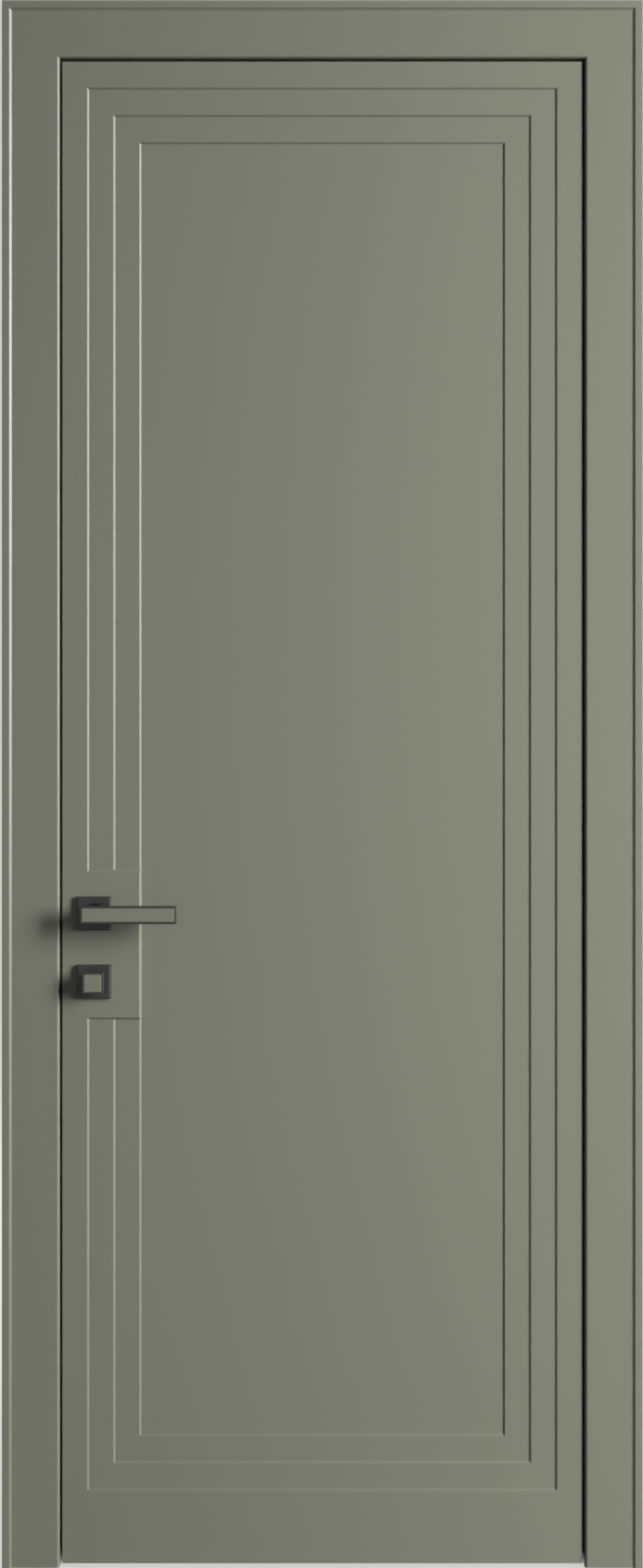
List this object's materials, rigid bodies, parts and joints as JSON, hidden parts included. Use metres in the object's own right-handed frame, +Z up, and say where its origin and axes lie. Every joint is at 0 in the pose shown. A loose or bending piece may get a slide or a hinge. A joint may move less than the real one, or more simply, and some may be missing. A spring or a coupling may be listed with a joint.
{
  "type": "interior door",
  "caption": "Painted interior door with a stepped recessed leaf, lever handle and thumb turn, on concealed hinges in a rebated frame with casings on both sides.",
  "frame": {"origin": "on the floor, under the middle of the closed leaf", "axes": "+X towards the hinges, +Y away from the pull side through the wall, +Z up"},
  "size_m": [0.983, 0.1468, 2.4065],
  "materials": {
    "leaf_paint": "satin paint on milled MDF",
    "frame_paint": "satin paint on MDF",
    "inlay_paint": "satin paint in the colour of the door",
    "leaf_edge_paint": "satin paint on the edges of pine stiles and rails",
    "chipboard": "bare tubular chipboard",
    "seal_rubber": "soft black profile",
    "black_plastic": "moulded",
    "graphite_metal": "satin dark graphite",
    "hinge_metal": "satin nickel",
    "magnet": "plain ferrite",
    "steel": "zinc plated"
  },
  "bodies": {
    "frame": {"bottom_hinge_frame_cup": "hinge_metal", "frame_seal": "seal_rubber", "front_casing_head": "frame_paint", "front_casing_hinge_side": "frame_paint", "front_casing_lock_side": "frame_paint", "head_jamb": "frame_paint", "head_stop": "frame_paint", "hinge_frame_screws": "steel", "hinge_jamb": "frame_paint", "hinge_stop": "frame_paint", "lock_jamb": "frame_paint", "lock_stop": "frame_paint", "middle_hinge_frame_cup": "hinge_metal", "rear_casing_head": "frame_paint", "rear_casing_hinge_side": "frame_paint", "rear_casing_lock_side": "frame_paint", "strike_boxes": "black_plastic", "strike_magnet": "magnet", "strike_plate": "steel", "strike_screws": "steel", "top_hinge_frame_cup": "hinge_metal"},
    "leaf": {"bottom_hinge_leaf_cup": "hinge_metal", "forend_screws": "steel", "hinge_leaf_screws": "steel", "leaf_back_skin": "leaf_paint", "leaf_bottom_rail": "leaf_edge_paint", "leaf_core": "chipboard", "leaf_front_skin": "leaf_paint", "leaf_hinge_stile": "leaf_edge_paint", "leaf_lock_stile": "leaf_edge_paint", "leaf_top_rail": "leaf_edge_paint", "lever_rosette_back": "graphite_metal", "lever_rosette_front": "graphite_metal", "lock_case": "steel", "lock_forend": "steel", "middle_hinge_leaf_cup": "hinge_metal", "release_rosette_back": "graphite_metal", "rosette_bases": "black_plastic", "rosette_bolts": "steel", "top_hinge_leaf_cup": "hinge_metal", "turn_rosette_front": "graphite_metal"},
    "lever_set": {"lever_front": "graphite_metal", "lever_back": "graphite_metal", "lever_inlay_front": "inlay_paint", "lever_inlay_back": "inlay_paint", "lever_spindle": "steel", "lever_grub_screws": "steel", "lock_follower": "steel"},
    "turn_set": {"turn_knob": "graphite_metal", "turn_inlay": "inlay_paint", "release_button": "graphite_metal", "deadbolt_cam": "steel"},
    "latch": {"latch_bolt": "steel"},
    "deadbolt": {"deadbolt": "steel"},
    "frame_arms": {"bottom_hinge_frame_arm": "hinge_metal", "middle_hinge_frame_arm": "hinge_metal", "top_hinge_frame_arm": "hinge_metal"},
    "leaf_arms": {"bottom_hinge_leaf_arm": "hinge_metal", "middle_hinge_leaf_arm": "hinge_metal", "top_hinge_leaf_arm": "hinge_metal"}
  },
  "joints": [
    {"name": "leaf_swing", "type": "hinge", "parent": "frame", "child": "leaf", "pos_m": [0.40175, -0.025, 1.16], "axis": [0, 0, 1], "range_deg": [0, 95]},
    {"name": "frame_arm_swing", "type": "hinge", "parent": "frame", "child": "frame_arms", "pos_m": [0.40975, -0.008, 1.16], "axis": [0, 0, 1], "range_deg": [0, 95]},
    {"name": "leaf_arm_swing", "type": "hinge", "parent": "leaf", "child": "leaf_arms", "pos_m": [0.39375, -0.008, 1.16], "axis": [0, 0, 1], "range_deg": [-95, 0]},
    {"name": "lever_turn", "type": "hinge", "parent": "leaf", "child": "lever_set", "pos_m": [-0.35, 0, 1.005], "axis": [0, 1, 0], "range_deg": [0, 40], "stiffness_Nm_per_rad": 1.5, "springref_deg": -34.38},
    {"name": "thumb_turn", "type": "hinge", "parent": "leaf", "child": "turn_set", "pos_m": [-0.35, 0, 0.9], "axis": [0, -1, 0], "range_deg": [0, 90]},
    {"name": "deadbolt_slide", "type": "slide", "parent": "leaf", "child": "deadbolt", "axis": [-1, 0, 0], "range_m": [0, 0.01202]},
    {"name": "latch_slide", "type": "slide", "parent": "leaf", "child": "latch", "axis": [-1, 0, 0], "range_m": [0, 0.011], "stiffness_N_per_m": 30, "springref_m": -0.004}
  ],
  "couplings": [
    {"joint": "frame_arm_swing", "follows": "leaf_swing", "ratio": 1},
    {"joint": "leaf_arm_swing", "follows": "leaf_swing", "ratio": -1},
    {"joint": "thumb_turn", "follows": "deadbolt_slide", "rad_per_m": 130.67}
  ]
}
